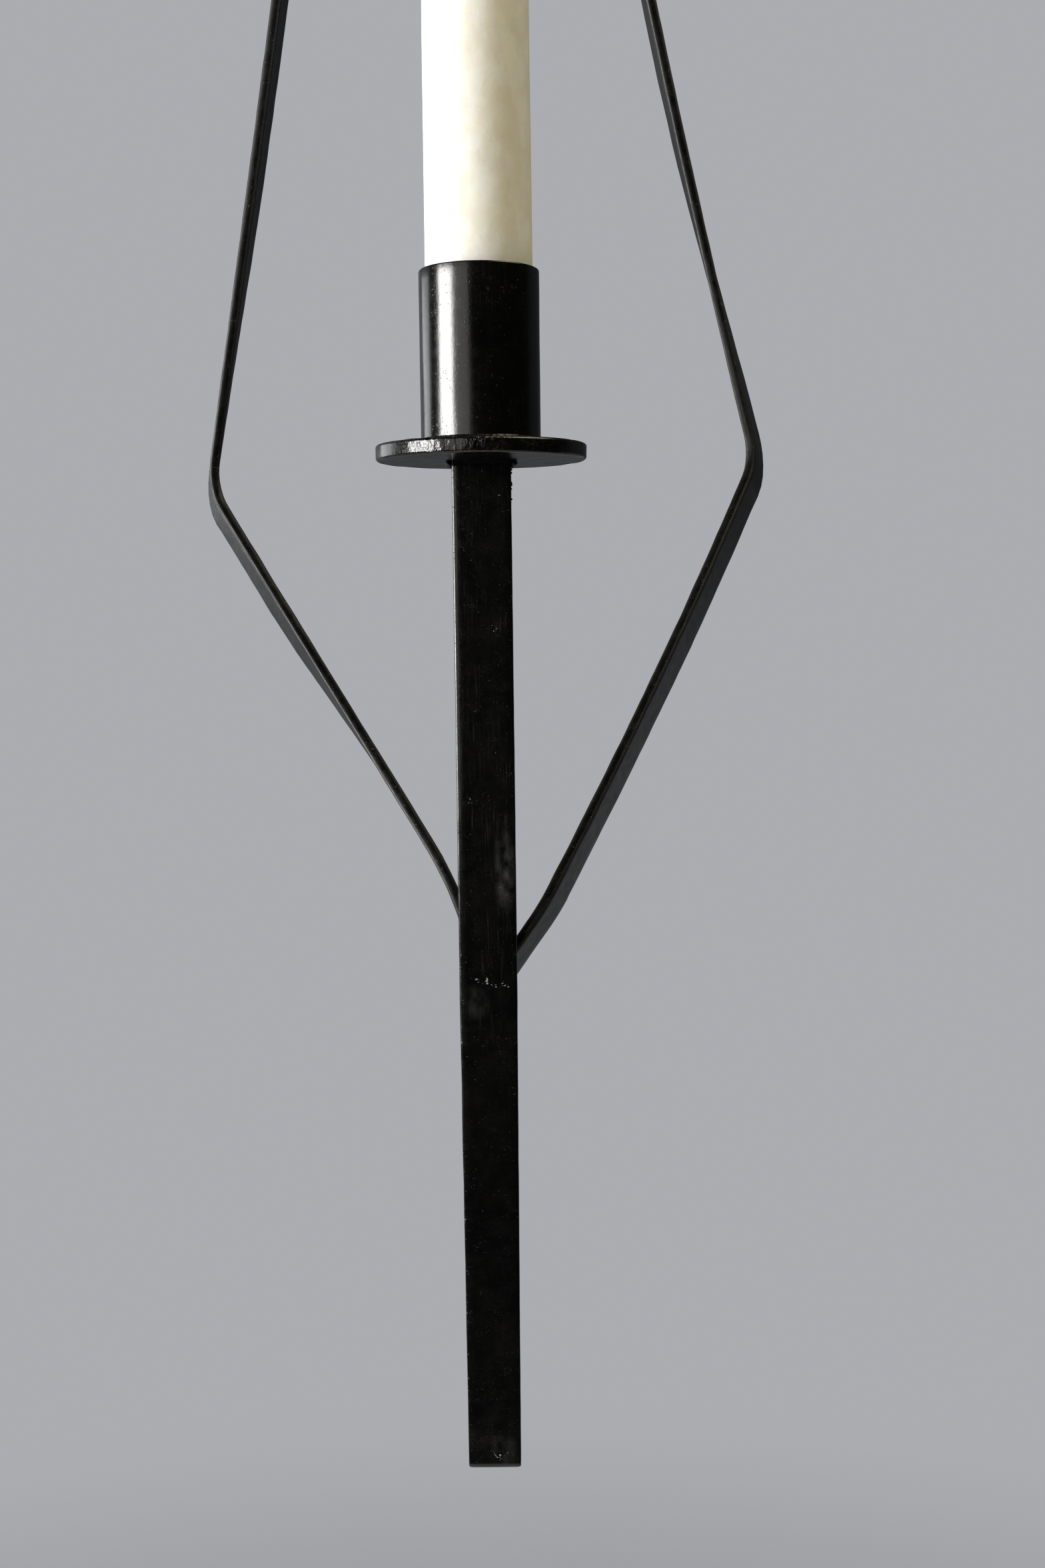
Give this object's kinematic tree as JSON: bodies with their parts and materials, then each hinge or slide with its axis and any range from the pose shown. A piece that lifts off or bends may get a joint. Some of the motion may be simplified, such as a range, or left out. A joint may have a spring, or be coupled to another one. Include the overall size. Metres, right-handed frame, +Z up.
{
  "type": "wall sconce candle holder",
  "caption": "Tall kite-shaped flat-iron wall sconce: bent strip arms carry a stem with a round drip disc and a tube cup that holds a dinner candle.",
  "frame": {"origin": "on the wall plane, where the hook that carries the hanging ring leaves the wall", "axes": "+Z up along the stem, +Y into the wall, +X to the right of someone who faces the wall"},
  "size_m": [0.1304, 0.0785, 0.587],
  "materials": {
    "strip_paint": "black gloss lacquer over drawn flat iron, a few rust specks and chips on the edges",
    "stem_paint": "black satin lacquer over a drawn flat bar, faint upright streaks, grey chips and worn patches",
    "cup_paint": "black gloss lacquer with dust bumps, bright wear along the disc's rim",
    "weld_paint": "black lacquer over rippled weld beads",
    "candle_wax": "ivory wax, faintly mottled, satin",
    "wick_cotton": "waxed braided cotton"
  },
  "bodies": {
    "sconce": {"left_frame_strip": "strip_paint", "right_frame_strip": "strip_paint", "hanging_ring": "strip_paint", "front_apex_weld": "weld_paint", "back_apex_weld": "weld_paint", "left_strip_weld": "weld_paint", "right_strip_weld": "weld_paint", "stem_bar": "stem_paint", "stem_weld": "weld_paint", "drip_disc": "cup_paint", "candle_cup": "cup_paint", "cup_weld": "weld_paint"},
    "candle": {"candle": "candle_wax", "wick": "wick_cotton"}
  },
  "joints": [
    {"name": "candle_lift", "type": "slide", "parent": "sconce", "child": "candle", "axis": [0, 0, 1], "range_m": [0, 0.045]}
  ]
}
